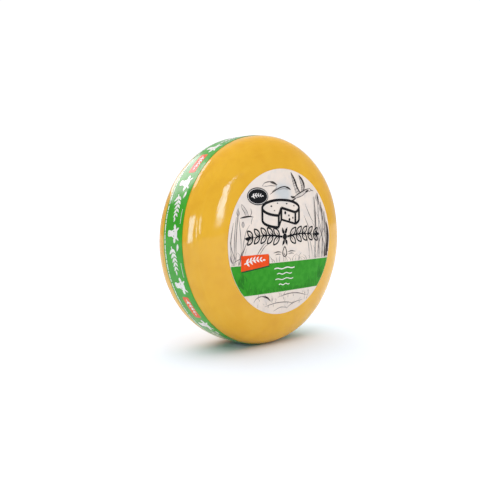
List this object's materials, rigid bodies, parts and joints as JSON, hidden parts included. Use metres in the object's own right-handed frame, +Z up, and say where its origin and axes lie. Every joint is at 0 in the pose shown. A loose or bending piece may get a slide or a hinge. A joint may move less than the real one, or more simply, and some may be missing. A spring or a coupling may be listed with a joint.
{
  "type": "cheese wheel",
  "caption": "Whole semi-hard cheese wheel in a yellow coating, standing on its rim, with a round printed label on one face and a printed paper band round the rim.",
  "frame": {"origin": "on the ground, at the centre of the part's outer box, below the wheel's axis", "axes": "+Z up, the wheel's axis lies along Y, the labelled face looks towards -Y, +X to the right of someone who reads the label"},
  "size_m": [0.2508, 0.0994, 0.2496],
  "materials": {
    "coating": "glossy, slightly rippled cheese coating",
    "label_paper": "satin printed paper",
    "band_paper": "green printed paper under a glossy coating",
    "green_ink": "printed on the label",
    "black_ink": "printed on the label",
    "pencil_ink": "printed pencil drawing",
    "orange_ink": "printed on the label and the band",
    "white_ink": "printed on the label and the band"
  },
  "bodies": {
    "root": {"cheese_wheel": "coating", "face_label": "label_paper", "rim_band": "band_paper"}
  },
  "joints": []
}
